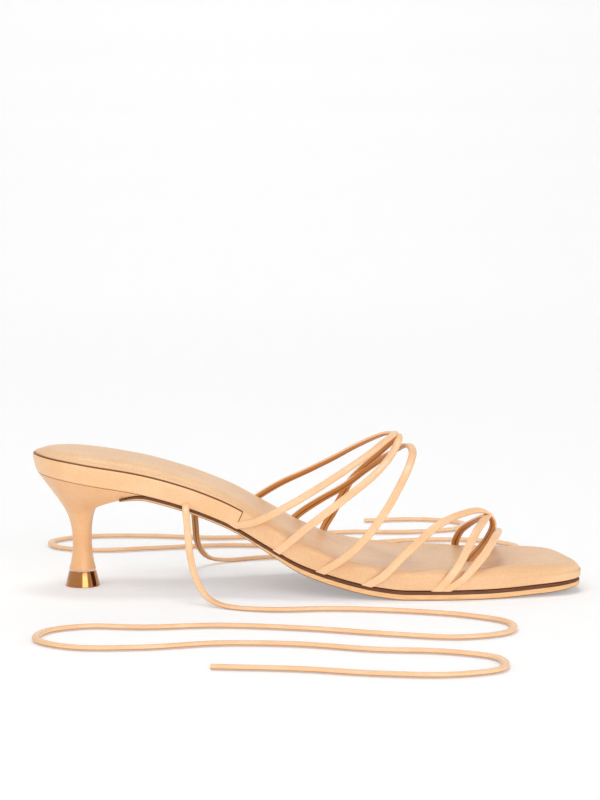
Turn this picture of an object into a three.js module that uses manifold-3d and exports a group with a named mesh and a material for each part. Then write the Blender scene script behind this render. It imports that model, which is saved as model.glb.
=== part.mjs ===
// A lace-up heeled sandal for the left foot: a padded footbed on a thin outsole, a covered
// kitten heel with a metal tip, six narrow straps and two long ties.
// Millimetres. The origin is the middle of the heel tip's foot, +X points to the toe,
// +Y to the outer side of the foot and +Z up.
import * as THREE from "three";
import { mergeVertices } from "three/addons/utils/BufferGeometryUtils.js";
import Module from "manifold-3d";

const wasm = await Module();
wasm.setup();

// Driving dimensions of the last and the sole
const shoeLength = 246.5;
const heelSetback = 22;
const ballWidth = 76;
const seatWidth = 49;
const waistWidth = 47;
const heelRise = 48.6;
const toeSpring = 2.2;
const bedSeat = 10.6;
const bedBall = 9.4;
const bedToe = 6.9;
const bedRound = 3;
const seatCrown = 3;
const seatTuck = 1.7;
const ballDish = 0.9;
const soleEdge = 4.2;
const soleWaist = 2.4;
const soleInset = 0.4;
const rimWall = 1.1;
const rimEnd = 94.5;
const toeRadius = 20.5;
const soleChamfer = 0.6;
const fit = 0.3;

// Driving dimensions of the heel and its tip. The heel runs out to the front in a wedge
// between the footbed and the outsole, which starts below it.
const breastReach = 51.5;
const soleStart = 40;
const wedgeDepth = 4.6;
const neckWidth = 8.5;
const tipTop = 12.2;
const tipFoot = 16;
const tipHeight = 7.2;

// Driving dimensions of the straps and ties
const strapWidth = 3.6;
const strapThick = 1.7;
const tieWidth = 3.2;
const tieThick = 1.8;
const tieRise = 0.5;
const vampHeight = 66;
const toeLoopHeight = 31;

const heelBack = -heelSetback;
const toeTip = heelBack + shoeLength;

// The outline of the sole from the back of the seat to the toe tip, one table for each side.
// at is a share of the shoe's length, out a share of the width that the row names.
const outerSide = [
  { at: 0, width: seatWidth, out: 0 },
  { at: 0.012, width: seatWidth, out: 0.2 },
  { at: 0.045, width: seatWidth, out: 0.37 },
  { at: 0.105, width: seatWidth, out: 0.485 },
  { at: 0.18, width: seatWidth, out: 0.5 },
  { at: 0.27, width: waistWidth, out: 0.5 },
  { at: 0.375, width: ballWidth, out: 0.35 },
  { at: 0.46, width: ballWidth, out: 0.408 },
  { at: 0.545, width: ballWidth, out: 0.462 },
  { at: 0.655, width: ballWidth, out: 0.498 },
  { at: 0.745, width: ballWidth, out: 0.475 },
  { at: 0.82, width: ballWidth, out: 0.435 },
  { at: 0.87, width: ballWidth, out: 0.415 },
  { at: 0.912, width: ballWidth, out: 0.4 },
  { at: 0.944, width: ballWidth, out: 0.36 },
  { at: 0.968, width: ballWidth, out: 0.275 },
  { at: 0.986, width: ballWidth, out: 0.12 },
  { at: 1, width: ballWidth, out: -0.14 },
];
const innerSide = [
  { at: 0, width: seatWidth, out: 0 },
  { at: 0.012, width: seatWidth, out: -0.2 },
  { at: 0.045, width: seatWidth, out: -0.38 },
  { at: 0.105, width: seatWidth, out: -0.49 },
  { at: 0.18, width: seatWidth, out: -0.497 },
  { at: 0.27, width: waistWidth, out: -0.5 },
  { at: 0.35, width: ballWidth, out: -0.33 },
  { at: 0.434, width: ballWidth, out: -0.37 },
  { at: 0.52, width: ballWidth, out: -0.435 },
  { at: 0.6, width: ballWidth, out: -0.485 },
  { at: 0.69, width: ballWidth, out: -0.507 },
  { at: 0.77, width: ballWidth, out: -0.497 },
  { at: 0.848, width: ballWidth, out: -0.45 },
  { at: 0.914, width: ballWidth, out: -0.385 },
  { at: 0.967, width: ballWidth, out: -0.315 },
  { at: 0.992, width: ballWidth, out: -0.235 },
  { at: 1, width: ballWidth, out: -0.14 },
];

// The side view of the last. lift is how high the footbed's underside lies as a share of
// heelRise, spring how much it rises to the toe as a share of toeSpring, and tuck how far the
// wall runs in below as a share of seatTuck. bed and sole are the two layers' thicknesses, and
// middle is how far the top's middle stands above its edge.
const sideView = [
  { at: 0, lift: 1, spring: 0, bed: bedSeat * 0.94, sole: soleWaist, middle: seatCrown * 0.6, tuck: 1 },
  { at: 0.09, lift: 0.928, spring: 0, bed: bedSeat, sole: soleWaist, middle: seatCrown * 0.93, tuck: 0.8 },
  { at: 0.193, lift: 0.842, spring: 0, bed: bedSeat, sole: soleWaist, middle: seatCrown, tuck: 0.4 },
  { at: 0.27, lift: 0.739, spring: 0, bed: bedSeat, sole: soleWaist, middle: seatCrown * 0.97, tuck: 0.2 },
  { at: 0.344, lift: 0.605, spring: 0, bed: bedSeat, sole: soleWaist, middle: seatCrown * 0.8, tuck: 0 },
  { at: 0.377, lift: 0.527, spring: 0, bed: bedSeat, sole: soleWaist, middle: seatCrown * 0.75, tuck: 0 },
  { at: 0.43, lift: 0.37, spring: 0, bed: bedSeat, sole: soleWaist * 1.2, middle: seatCrown * 0.7, tuck: 0 },
  {
    at: 0.492,
    lift: 0.206,
    spring: 0,
    bed: bedSeat * 0.98,
    sole: soleEdge * 0.93,
    middle: seatCrown * 0.35,
    tuck: 0,
  },
  { at: 0.565, lift: 0.093, spring: 0, bed: bedBall * 0.96, sole: soleEdge, middle: -ballDish / 3, tuck: 0 },
  { at: 0.62, lift: 0.033, spring: 0, bed: bedBall, sole: soleEdge, middle: -ballDish, tuck: 0 },
  { at: 0.68, lift: 0, spring: 0, bed: bedBall, sole: soleEdge, middle: -ballDish, tuck: 0 },
  { at: 0.81, lift: 0, spring: 0, bed: bedBall, sole: soleEdge, middle: -ballDish, tuck: 0 },
  { at: 0.93, lift: 0, spring: 0.55, bed: bedBall * 0.88, sole: soleEdge, middle: -ballDish * 0.4, tuck: 0 },
  { at: 1, lift: 0, spring: 1, bed: bedToe, sole: soleEdge * 0.8, middle: 0, tuck: 0 },
];

// A smooth curve through the rows of a table that never overshoots between two of them.
function through(rows, column) {
  const x = rows.map((row) => row.at);
  const y = rows.map(column);
  const rise = x.slice(1).map((next, i) => (y[i + 1] - y[i]) / (next - x[i]));
  const slope = x.map((_, i) => {
    const before = rise[i - 1];
    const after = rise[i];
    if (before === undefined || after === undefined) return before ?? after;
    return before * after <= 0 ? 0 : (2 * before * after) / (before + after);
  });
  return (at) => {
    let i = 0;
    while (i < x.length - 2 && at > x[i + 1]) i += 1;
    const span = x[i + 1] - x[i];
    const t = Math.min(1, Math.max(0, (at - x[i]) / span));
    const ease = t * t * (3 - 2 * t);
    const hold = t * (1 - t);
    const bend = slope[i] * (1 - t) - slope[i + 1] * t;
    return y[i] + (y[i + 1] - y[i]) * ease + span * hold * bend;
  };
}

const share = (x) => (x - heelBack) / shoeLength;
const liftAt = through(sideView, (row) => row.lift * heelRise + row.spring * toeSpring);
const bedAt = through(sideView, (row) => row.bed);
const soleAt = through(sideView, (row) => row.sole);
const middleAt = through(sideView, (row) => row.middle);
const tuckAt = through(sideView, (row) => row.tuck * seatTuck);
const underside = (x) => soleEdge + liftAt(share(x));
const footbedTop = (x) => underside(x) + bedAt(share(x));

// One side of the outline as a function of x, read from a curve through its table.
function sideOf(rows) {
  const points = rows.map((row) => {
    return new THREE.Vector3(heelBack + row.at * shoeLength, row.out * row.width, 0);
  });
  const fine = new THREE.CatmullRomCurve3(points, false, "centripetal").getPoints(600);
  return (x) => {
    const i = Math.max(1, fine.findIndex((point) => point.x >= x));
    const a = fine[i - 1];
    const b = fine[i];
    const t = THREE.MathUtils.clamp((x - a.x) / Math.max(b.x - a.x, 1e-9), 0, 1);
    return a.y + (b.y - a.y) * t;
  };
}
const outerEdge = sideOf(outerSide);
const innerEdge = sideOf(innerSide);

// Stations along the foot, closer together towards the two round ends.
const stationCount = 38;
const spineStart = heelBack + seatWidth / 2;
const spineEnd = toeTip - toeRadius;
const stations = Array.from({ length: stationCount + 1 }, (_, i) => {
  const x = heelBack + (shoeLength * (1 - Math.cos((Math.PI * i) / stationCount))) / 2;
  const middle = THREE.MathUtils.clamp(x, spineStart, spineEnd);
  const spine = new THREE.Vector2(middle, (outerEdge(middle) + innerEdge(middle)) / 2);
  return { x, spine };
});

// The outline as a ring of plan points, each with the spine point it shrinks towards.
const outline = [
  ...stations.map((s) => ({ edge: new THREE.Vector2(s.x, outerEdge(s.x)), spine: s.spine })),
  ...stations
    .slice(1, -1)
    .reverse()
    .map((s) => ({ edge: new THREE.Vector2(s.x, innerEdge(s.x)), spine: s.spine })),
];

// A closed ring of the outline, moved in by a distance, with its height worked out from x.
// tucked is how much of the wall's tuck the ring follows.
function footRing(inset, height, tucked = 0) {
  return outline.map(({ edge, spine }) => {
    const reach = edge.distanceTo(spine);
    const whole = inset + tucked * tuckAt(share(edge.x));
    const at = edge.clone().lerp(spine, Math.min(1, whole / reach));
    return new THREE.Vector3(at.x, at.y, height(at.x));
  });
}

// A mesh's geometry as a solid, and a solid as geometry.
function solidFrom(geometry) {
  const bare = geometry.index ? geometry.toNonIndexed() : geometry.clone();
  bare.deleteAttribute("normal");
  bare.deleteAttribute("uv");
  const merged = mergeVertices(bare, 1e-4);
  const index = merged.index.array;
  const kept = [];
  for (let i = 0; i < index.length; i += 3) {
    const [a, b, c] = [index[i], index[i + 1], index[i + 2]];
    if (a !== b && b !== c && c !== a) kept.push(a, b, c);
  }
  return new wasm.Manifold(
    new wasm.Mesh({
      numProp: 3,
      vertProperties: merged.attributes.position.array,
      triVerts: new Uint32Array(kept),
    }),
  );
}

function geometryFrom(solid) {
  const mesh = solid.getMesh();
  const points = new Float32Array(mesh.numVert * 3);
  for (let i = 0; i < mesh.numVert; i += 1) {
    const start = i * mesh.numProp;
    points.set(mesh.vertProperties.subarray(start, start + 3), i * 3);
  }
  const geometry = new THREE.BufferGeometry();
  geometry.setAttribute("position", new THREE.BufferAttribute(points, 3));
  geometry.setIndex(new THREE.BufferAttribute(new Uint32Array(mesh.triVerts), 1));
  geometry.computeVertexNormals();
  return geometry;
}

// A closed skin over rings of equally many points. Both ends are closed straight across, from
// each point to the one that faces it.
function skin(rings) {
  const points = [];
  const push = (a, b, c) => points.push(...a.toArray(), ...b.toArray(), ...c.toArray());
  rings.slice(1).forEach((upper, level) => {
    const lower = rings[level];
    lower.forEach((_, i) => {
      const next = (i + 1) % lower.length;
      push(lower[i], upper[next], lower[next]);
      push(lower[i], upper[i], upper[next]);
    });
  });
  const close = (ring, turned) => {
    const last = ring.length;
    for (let i = 0; i < last / 2; i += 1) {
      const across = [ring[i], ring[i + 1], ring[last - i - 1], ring[(last - i) % last]];
      const [a, b, c, d] = turned ? across.reverse() : across;
      push(a, c, b);
      push(a, d, c);
    }
  };
  close(rings[0], true);
  close(rings[rings.length - 1], false);
  const geometry = new THREE.BufferGeometry();
  geometry.setAttribute("position", new THREE.Float32BufferAttribute(points, 3));
  return solidFrom(geometry);
}

// All the room behind a plane across the foot at x, which leans forward about a height.
const roomSize = 3 * shoeLength;
function roomBehind(x, height, lean) {
  const geometry = new THREE.BoxGeometry(roomSize, roomSize, roomSize);
  geometry.translate(-roomSize / 2, 0, 0);
  geometry.rotateY(lean);
  geometry.translate(x, 0, height);
  return solidFrom(geometry);
}

// The footbed's whole form: straight wall, round padded edge and a slightly dished top.
const roundSteps = 4;
const paddedEdge = Array.from({ length: roundSteps + 1 }, (_, i) => {
  const turn = (Math.PI / 2) * (i / roundSteps);
  return { inset: bedRound * (1 - Math.cos(turn)), drop: bedRound * (1 - Math.sin(turn)) };
});
const footbedRows = [
  ...paddedEdge.map((row) => ({ ...row, middle: 0 })),
  { inset: 1.4 * bedRound, drop: 0, middle: 0.35 },
  { inset: 2 * bedRound, drop: 0, middle: 0.7 },
  { inset: 3.2 * bedRound, drop: 0, middle: 0.92 },
  { inset: 4.5 * bedRound, drop: 0, middle: 1 },
];
const wallRows = [
  { up: 0, tucked: 1 },
  { up: 0.18, tucked: 0.68 },
  { up: 0.36, tucked: 0.34 },
  { up: 0.55, tucked: 0.08 },
];
function footbedForm() {
  const wall = wallRows.map(({ up, tucked }) => {
    return footRing(0, (x) => underside(x) + fit + up * (bedAt(share(x)) - fit), tucked);
  });
  const top = footbedRows.map(({ inset, drop, middle }) => {
    return footRing(inset, (x) => footbedTop(x) - drop + middle * middleAt(share(x)));
  });
  return skin([...wall, ...top]);
}

// A solid whose cuts leave no sliver: each edge shorter than the finest detail is drawn
// together into one point.
const finest = 0.06;
function withoutSlivers(solid) {
  const mesh = solid.simplify(finest).getMesh();
  const corners = mesh.triVerts;
  const placeOf = (i) => new THREE.Vector3().fromArray(mesh.vertProperties, i * mesh.numProp);
  const sameAs = Array.from({ length: mesh.numVert }, (_, i) => i);
  const firstOf = (i) => (sameAs[i] === i ? i : firstOf(sameAs[i]));
  for (let i = 0; i < corners.length; i += 1) {
    const next = i % 3 === 2 ? i - 2 : i + 1;
    const [a, b] = [firstOf(corners[i]), firstOf(corners[next])];
    if (placeOf(a).distanceTo(placeOf(b)) < finest) sameAs[Math.max(a, b)] = Math.min(a, b);
  }
  const kept = [];
  for (let i = 0; i < corners.length; i += 3) {
    const [a, b, c] = [firstOf(corners[i]), firstOf(corners[i + 1]), firstOf(corners[i + 2])];
    if (a !== b && b !== c && c !== a) kept.push(a, b, c);
  }
  return new wasm.Manifold(
    new wasm.Mesh({
      numProp: mesh.numProp,
      vertProperties: mesh.vertProperties,
      triVerts: new Uint32Array(kept),
    }),
  );
}

// The main body of a piece, without the corner that a strap's groove parts from it.
function largest(solid) {
  return solid.decompose().reduce((most, one) => (one.volume() > most.volume() ? one : most));
}

// The space of the cover band around the seat, which ends in a slanted edge on both sides.
const bandSlant = 0.2;
const reachPast = 30;
function bandSpace(clearance) {
  const low = (x) => underside(x) - reachPast;
  const high = (x) => footbedTop(x) + reachPast;
  const all = skin([footRing(-reachPast, low), footRing(-reachPast, high)]);
  const within = rimWall + clearance;
  const core = skin([
    footRing(within, (x) => low(x) - 1, 1),
    ...wallRows.map(({ up, tucked }) => {
      return footRing(within, (x) => underside(x) + up * bedAt(share(x)), tucked);
    }),
    footRing(within, (x) => high(x) + 1),
  ]);
  const front = heelBack + rimEnd + clearance;
  return all.subtract(core).intersect(roomBehind(front, underside(front), bandSlant));
}

// The outsole: a thin slab from the heel to the toe. Its back end runs under the heel's
// wedge, where it is skived thinner still.
const breastX = heelBack + breastReach;
const soleBack = heelBack + soleStart;
const wedgeBend = 1.4;
const wedgeSkive = 0.5;
const underWedge = (x) => {
  const part = THREE.MathUtils.clamp((breastX - x) / (breastX - soleBack), 0, 1);
  return part ** wedgeBend;
};
const soleTop = (x) => underside(x) - wedgeDepth * underWedge(x);
const ground = (x) => soleTop(x) - soleAt(share(x)) * (1 - wedgeSkive * underWedge(x));
function outsoleForm() {
  const slab = skin([
    footRing(soleInset + soleChamfer, ground),
    footRing(soleInset, (x) => ground(x) + soleChamfer),
    footRing(soleInset, soleTop),
  ]);
  return slab.subtract(roomBehind(soleBack + fit, 0, 0));
}

// The space that the heel leaves to the outsole.
function outsoleSpace() {
  const low = (x) => soleTop(x) - reachPast;
  const all = skin([footRing(-reachPast, low), footRing(-reachPast, (x) => soleTop(x) + fit)]);
  return all.subtract(roomBehind(soleBack, 0, 0));
}

// How far the seat's outline lies from the heel's axis, in the plan direction of an angle.
// The heel's flat breast doesn't follow the wall's tuck.
const coverInset = 0.6;
const breastStart = 0.9 * breastX;
function seatReach(angle) {
  let near = 0;
  let far = shoeLength;
  for (let i = 0; i < 40; i += 1) {
    const middle = (near + far) / 2;
    const x = middle * Math.cos(angle);
    const y = middle * Math.sin(angle);
    const within = x > heelBack && x < breastX;
    const edge = y > 0 ? outerEdge(Math.max(x, heelBack)) : innerEdge(Math.max(x, heelBack));
    if (within && Math.abs(y) < Math.abs(edge)) near = middle;
    else far = middle;
  }
  const x = near * Math.cos(angle);
  return near - coverInset - (x > breastStart ? 0 : tuckAt(share(x)));
}

// The heel from the seat down to its tip. hold is how much of the seat's outline a section
// keeps, front how much of its reach to the front, flare how far it has opened from the neck
// to the tip, level its height as a share of the seat's and tilt how much it follows the
// seat's slope.
const heelSections = [
  { level: 1, tilt: 1, hold: 1, front: 1, flare: 0 },
  { level: 0.985, tilt: 1.05, hold: 0.975, front: 0.9, flare: 0 },
  { level: 0.96, tilt: 1.15, hold: 0.93, front: 0.77, flare: 0 },
  { level: 0.909, tilt: 1.3, hold: 0.81, front: 0.58, flare: 0 },
  { level: 0.848, tilt: 1.2, hold: 0.63, front: 0.35, flare: 0 },
  { level: 0.783, tilt: 0.9, hold: 0.43, front: 0.18, flare: 0 },
  { level: 0.74, tilt: 0.5, hold: 0.3, front: 0.1, flare: 0 },
  { level: 0.7, tilt: 0.2, hold: 0.2, front: 0.06, flare: 0 },
  { level: 0.62, tilt: 0, hold: 0.09, front: 0.02, flare: 0 },
  { level: 0.53, tilt: 0, hold: 0.03, front: 0, flare: 0 },
  { level: 0.43, tilt: 0, hold: 0, front: 0, flare: 0 },
  { level: 0.35, tilt: 0, hold: 0, front: 0, flare: 0.06 },
  { level: 0.278, tilt: 0, hold: 0, front: 0, flare: 0.26 },
  { level: 0.205, tilt: 0, hold: 0, front: 0, flare: 0.6 },
];
const aroundHeel = 40;
function heelForm() {
  const seat = underside(0);
  const ring = ({ level, tilt, hold, front, flare }) => {
    const radius = (neckWidth + (tipTop - neckWidth) * flare) / 2;
    return Array.from({ length: aroundHeel }, (_, i) => {
      const angle = Math.PI - (2 * Math.PI * i) / aroundHeel;
      const beyond = seatReach(angle) - radius;
      const x = Math.cos(angle) * (radius + beyond * (Math.cos(angle) > 0 ? front : hold));
      const y = Math.sin(angle) * (radius + beyond * hold);
      return new THREE.Vector3(x, y, seat * level + (underside(x) - seat) * tilt);
    });
  };
  const foot = ring({ level: (tipHeight + fit) / seat, tilt: 0, hold: 0, front: 0, flare: 1 });
  return skin([foot, ...heelSections.map(ring).reverse()]);
}

// A curve that carries a flat band: away gives the way that the band's outer face looks.
class BandCurve extends THREE.CatmullRomCurve3 {
  constructor(points, away) {
    super(points, false, "centripetal");
    this.away = away;
    this.arcLengthDivisions = 1000;
  }

  computeFrenetFrames(segments) {
    const frames = { tangents: [], normals: [], binormals: [] };
    for (let i = 0; i <= segments; i += 1) {
      const tangent = this.getTangentAt(i / segments);
      const face = this.away(this.getPointAt(i / segments)).clone();
      face.addScaledVector(tangent, -face.dot(tangent)).normalize();
      frames.tangents.push(tangent);
      frames.normals.push(new THREE.Vector3().crossVectors(face, tangent));
      frames.binormals.push(face);
    }
    return frames;
  }
}

// A band with softly rounded edges along a curve.
const edgeSoftness = 0.3;
function band(curve, width, thick, steps, grow = 0) {
  const w = width / 2 + grow;
  const t = thick / 2 + grow;
  const soft = thick * edgeSoftness;
  const section = new THREE.Shape([
    new THREE.Vector2(w, -t + soft),
    new THREE.Vector2(w, t - soft),
    new THREE.Vector2(w - soft, t),
    new THREE.Vector2(soft - w, t),
    new THREE.Vector2(-w, t - soft),
    new THREE.Vector2(-w, soft - t),
    new THREE.Vector2(soft - w, -t),
    new THREE.Vector2(w - soft, -t),
  ]);
  const geometry = new THREE.ExtrudeGeometry(section, { steps, extrudePath: curve });
  return solidFrom(geometry);
}

// Where a strap leaves the sole: at the wall, just above the outsole.
const anchorInset = 0.3;
function anchor(at, side) {
  const x = heelBack + at * shoeLength;
  const edge = side > 0 ? outerEdge(x) : innerEdge(x);
  return new THREE.Vector3(x, edge - side * anchorInset, underside(x) + 2 * fit);
}

// The straps' routes from the inner wall to the outer wall. at is a share of the shoe's
// length, across a share of the ball width and up a share of the strap group's height.
const vampRoutes = [
  {
    from: 0.37,
    to: 0.375,
    rows: [
      { at: 0.409, across: -0.372, up: 0.507 },
      { at: 0.471, across: -0.395, up: 0.627 },
      { at: 0.546, across: -0.329, up: 0.788 },
      { at: 0.615, across: -0.184, up: 0.942 },
      { at: 0.642, across: -0.105, up: 1.01 },
      { at: 0.66, across: -0.02, up: 1.048 },
      { at: 0.66, across: 0.035, up: 1.05 },
      { at: 0.642, across: 0.105, up: 1.032 },
      { at: 0.595, across: 0.211, up: 0.939 },
      { at: 0.548, across: 0.276, up: 0.834 },
      { at: 0.501, across: 0.329, up: 0.739 },
      { at: 0.453, across: 0.371, up: 0.649 },
      { at: 0.414, across: 0.387, up: 0.56 },
    ],
  },
  {
    from: 0.448,
    to: 0.522,
    rows: [
      { at: 0.466, across: -0.398, up: 0.363 },
      { at: 0.491, across: -0.434, up: 0.449 },
      { at: 0.557, across: -0.434, up: 0.641 },
      { at: 0.614, across: -0.329, up: 0.791 },
      { at: 0.638, across: -0.25, up: 0.866 },
      { at: 0.657, across: -0.145, up: 0.942 },
      { at: 0.668, across: -0.053, up: 1.012 },
      { at: 0.668, across: 0.013, up: 1.037 },
      { at: 0.66, across: 0.092, up: 0.99 },
      { at: 0.637, across: 0.184, up: 0.894 },
      { at: 0.61, across: 0.283, up: 0.784 },
      { at: 0.586, across: 0.355, up: 0.679 },
      { at: 0.566, across: 0.421, up: 0.538 },
      { at: 0.549, across: 0.458, up: 0.408 },
      { at: 0.536, across: 0.466, up: 0.326 },
    ],
  },
  {
    from: 0.527,
    to: 0.45,
    rows: [
      { at: 0.567, across: -0.493, up: 0.285 },
      { at: 0.602, across: -0.487, up: 0.402 },
      { at: 0.643, across: -0.421, up: 0.598 },
      { at: 0.676, across: -0.289, up: 0.793 },
      { at: 0.689, across: -0.184, up: 0.883 },
      { at: 0.694, across: -0.079, up: 0.937 },
      { at: 0.689, across: 0.026, up: 0.963 },
      { at: 0.68, across: 0.092, up: 0.953 },
      { at: 0.664, across: 0.158, up: 0.909 },
      { at: 0.608, across: 0.309, up: 0.74 },
      { at: 0.573, across: 0.355, up: 0.632 },
      { at: 0.525, across: 0.408, up: 0.518 },
      { at: 0.49, across: 0.434, up: 0.427 },
    ],
  },
];
const toeRoutes = [
  {
    from: 0.734,
    to: 0.78,
    rows: [
      { at: 0.754, across: -0.512, up: 0.325 },
      { at: 0.771, across: -0.495, up: 0.503 },
      { at: 0.791, across: -0.421, up: 0.754 },
      { at: 0.809, across: -0.309, up: 0.955 },
      { at: 0.824, across: -0.197, up: 1.056 },
      { at: 0.83, across: -0.118, up: 1.076 },
      { at: 0.826, across: -0.039, up: 1.038 },
      { at: 0.817, across: 0.079, up: 0.949 },
      { at: 0.804, across: 0.211, up: 0.826 },
      { at: 0.791, across: 0.316, up: 0.688 },
      { at: 0.785, across: 0.401, up: 0.555 },
      { at: 0.782, across: 0.447, up: 0.437 },
    ],
  },
  {
    from: 0.748,
    to: 0.841,
    rows: [
      { at: 0.778, across: -0.5, up: 0.303 },
      { at: 0.795, across: -0.478, up: 0.435 },
      { at: 0.815, across: -0.428, up: 0.597 },
      { at: 0.832, across: -0.342, up: 0.744 },
      { at: 0.843, across: -0.25, up: 0.84 },
      { at: 0.849, across: -0.145, up: 0.851 },
      { at: 0.851, across: 0.053, up: 0.8 },
      { at: 0.851, across: 0.21, up: 0.69 },
      { at: 0.845, across: 0.335, up: 0.54 },
    ],
  },
];

// The strap that rises from the inner wall, crosses over its neighbour and dives between
// the toes into a slot of the footbed.
const postRoute = {
  from: 0.61,
  rows: [
    { at: 0.636, across: -0.52, up: 0.36 },
    { at: 0.677, across: -0.493, up: 0.671 },
    { at: 0.701, across: -0.454, up: 0.827 },
    { at: 0.727, across: -0.395, up: 0.99 },
    { at: 0.755, across: -0.316, up: 1.095 },
    { at: 0.791, across: -0.224, up: 1.165 },
    { at: 0.812, across: -0.171, up: 1.172 },
    { at: 0.828, across: -0.132, up: 1.128 },
    { at: 0.839, across: -0.105, up: 1.015 },
    { at: 0.841, across: -0.092, up: 0.907 },
    { at: 0.832, across: -0.092, up: 0.743 },
    { at: 0.819, across: -0.099, up: 0.6 },
    { at: 0.804, across: -0.105, up: 0.469 },
    { at: 0.79, across: -0.112, up: 0.33 },
  ],
};

// A strap's outer face looks away from a line along the middle of the foot.
const footCore = 0.2;
function outwards(height) {
  return (point) => new THREE.Vector3(0, point.y, point.z - height * footCore);
}

function strapCurve(route, height) {
  const points = route.rows.map(({ at, across, up }) => {
    const x = heelBack + at * shoeLength;
    return new THREE.Vector3(x, across * ballWidth, up * height);
  });
  points.unshift(anchor(route.from, -1));
  if (route.to !== undefined) points.push(anchor(route.to, 1));
  return new BandCurve(points, outwards(height));
}

const strapSteps = 34;
const vampCurves = vampRoutes.map((route) => strapCurve(route, vampHeight));
const toeCurves = [...toeRoutes, postRoute].map((route) => strapCurve(route, toeLoopHeight));
function joinedStraps(curves, grow) {
  return curves
    .map((curve) => band(curve, strapWidth, strapThick, strapSteps, grow))
    .reduce((all, one) => all.add(one));
}

// The two ties leave the sole behind the arch, drop to the floor and lie there in loose
// curves. Their points are places on the floor, in millimetres.
const tieLay = tieThick / 2 + tieRise;
const tieExit = 70;
const tieRoot = 1.2;
const tieLead = 4;
const tieDrop = 0.6;
const innerTieRoute = [
  [49, -34, 32.5],
  [50, -38, 23],
  [52.5, -42, 12],
  [58, -49, 4],
  [66, -56, tieLay],
  [86, -64, tieLay],
  [112, -62, tieLay],
  [140, -66, tieLay],
  [168, -76, tieLay],
  [186, -92, tieLay],
  [184, -112, tieLay],
  [164, -122, tieLay],
  [136, -116, tieLay],
  [100, -104, tieLay],
  [64, -98, tieLay],
  [34, -102, tieLay],
  [10, -100, tieLay],
  [-6, -110, tieLay],
  [-8, -128, tieLay],
  [8, -142, tieLay],
  [36, -142, tieLay],
  [66, -134, tieLay],
  [98, -136, tieLay],
  [128, -146, tieLay],
  [156, -150, tieLay],
  [176, -162, tieLay],
  [176, -182, tieLay],
  [156, -192, tieLay],
  [128, -190, tieLay],
  [98, -182, tieLay],
  [64, -178, tieLay],
];
const outerTieRoute = [
  [49, 34, 32.5],
  [49.5, 38.5, 23],
  [50.5, 43, 12],
  [55, 51, 4],
  [63, 58, tieLay],
  [82, 66, tieLay],
  [110, 70, tieLay],
  [140, 64, tieLay],
  [170, 66, tieLay],
  [196, 78, tieLay],
  [204, 98, tieLay],
  [188, 114, tieLay],
  [160, 116, tieLay],
  [128, 106, tieLay],
  [94, 98, tieLay],
  [60, 100, tieLay],
  [28, 92, tieLay],
  [0, 86, tieLay],
  [-20, 94, tieLay],
  [-24, 112, tieLay],
  [-8, 126, tieLay],
  [22, 128, tieLay],
  [56, 122, tieLay],
  [92, 130, tieLay],
  [124, 140, tieLay],
  [154, 140, tieLay],
  [178, 150, tieLay],
  [182, 168, tieLay],
  [162, 180, tieLay],
  [132, 176, tieLay],
];
const tieSteps = 42;
function tieCurve(route, side) {
  const x = heelBack + tieExit;
  const edge = side > 0 ? outerEdge(x) : innerEdge(x);
  const height = underside(x) + fit + tieThick / 2;
  const start = new THREE.Vector3(x, edge - side * tieRoot, height);
  const out = new THREE.Vector3(x, edge + side * tieLead, height - tieDrop);
  const points = [start, out, ...route.map(([px, py, pz]) => new THREE.Vector3(px, py, pz))];
  return new BandCurve(points, () => new THREE.Vector3(0, 0, 1));
}
const innerTie = tieCurve(innerTieRoute, -1);
const outerTie = tieCurve(outerTieRoute, 1);

const bedBlank = footbedForm();
const vampStraps = joinedStraps(vampCurves, 0);
const toeStraps = joinedStraps(toeCurves, 0);
const grooves = joinedStraps([...vampCurves, ...toeCurves], fit)
  .add(band(innerTie, tieWidth, tieThick, tieSteps, fit))
  .add(band(outerTie, tieWidth, tieThick, tieSteps, fit));

const leather = { color: 0xf4cfa0, roughness: 0.42, metalness: 0 };
const insoleLeather = { color: 0xe8c49a, roughness: 0.5, metalness: 0 };
const soleLeather = { color: 0xc89258, roughness: 0.55, metalness: 0 };
const copper = { color: 0xb87a3c, roughness: 0.15, metalness: 1 };

const sandal = new THREE.Group();
function place(name, solid, finish) {
  const geometry = geometryFrom(withoutSlivers(solid));
  const mesh = new THREE.Mesh(geometry, new THREE.MeshStandardMaterial(finish));
  mesh.name = name;
  sandal.add(mesh);
}

const tip = new THREE.CylinderGeometry(tipTop / 2, tipFoot / 2, tipHeight, aroundHeel);
tip.rotateX(Math.PI / 2);
tip.translate(0, 0, tipHeight / 2);

place("outsole", outsoleForm().subtract(grooves), soleLeather);
place("footbed", bedBlank.subtract(bandSpace(fit)).subtract(grooves), insoleLeather);
place("seat_cover", largest(bedBlank.intersect(bandSpace(0)).subtract(grooves)), leather);
place("heel", heelForm().subtract(outsoleSpace()), leather);
place("heel_tip", solidFrom(tip), copper);
place("vamp_straps", vampStraps, leather);
place("toe_straps", toeStraps, leather);
place("inner_tie", band(innerTie, tieWidth, tieThick, tieSteps), leather);
place("outer_tie", band(outerTie, tieWidth, tieThick, tieSteps), leather);

export default sandal;
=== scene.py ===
# %% [markdown]
# # A lace-up heeled sandal
# This lesson dresses a left sandal with leather and metal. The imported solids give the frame:
# every piece below sits where a solid sits, and rides on the part's one body. We work in
# metres, with +X to the toe, +Y to the outer side of the foot and +Z up.

# %% The frame
import bisect
import math

import bmesh
import bpy
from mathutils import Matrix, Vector, noise


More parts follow.
